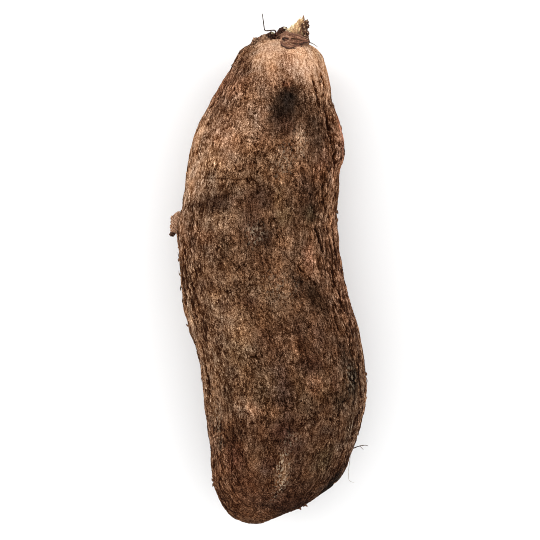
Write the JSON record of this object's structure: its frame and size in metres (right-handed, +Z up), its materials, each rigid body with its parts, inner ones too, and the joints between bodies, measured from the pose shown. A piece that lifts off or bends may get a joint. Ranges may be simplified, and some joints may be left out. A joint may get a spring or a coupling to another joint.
{
  "type": "yam",
  "caption": "Whole raw yam: a long, slightly S-shaped root tuber with rough corky brown skin, a dry vine stub at its crown and fine rootlets.",
  "frame": {"origin": "middle of the whole yam's footprint, on the plane it lies on", "axes": "+Y along the tuber towards its crown, +Z up from the belly it lies on, +X to the right flank that carries the lobe"},
  "size_m": [0.1168, 0.3042, 0.0843],
  "materials": {
    "corky_skin": "rough, flaky, finely fissured cork, matt",
    "dry_wood": "dry, splintered vine wood, straw yellow, matt",
    "dry_root": "thin, dry, wiry root, matt"
  },
  "bodies": {
    "root": {"tuber": "corky_skin", "vine_stub": "dry_wood", "crown_root": "dry_root", "tip_rootlet_1": "dry_root", "tip_rootlet_2": "dry_root"}
  },
  "joints": []
}
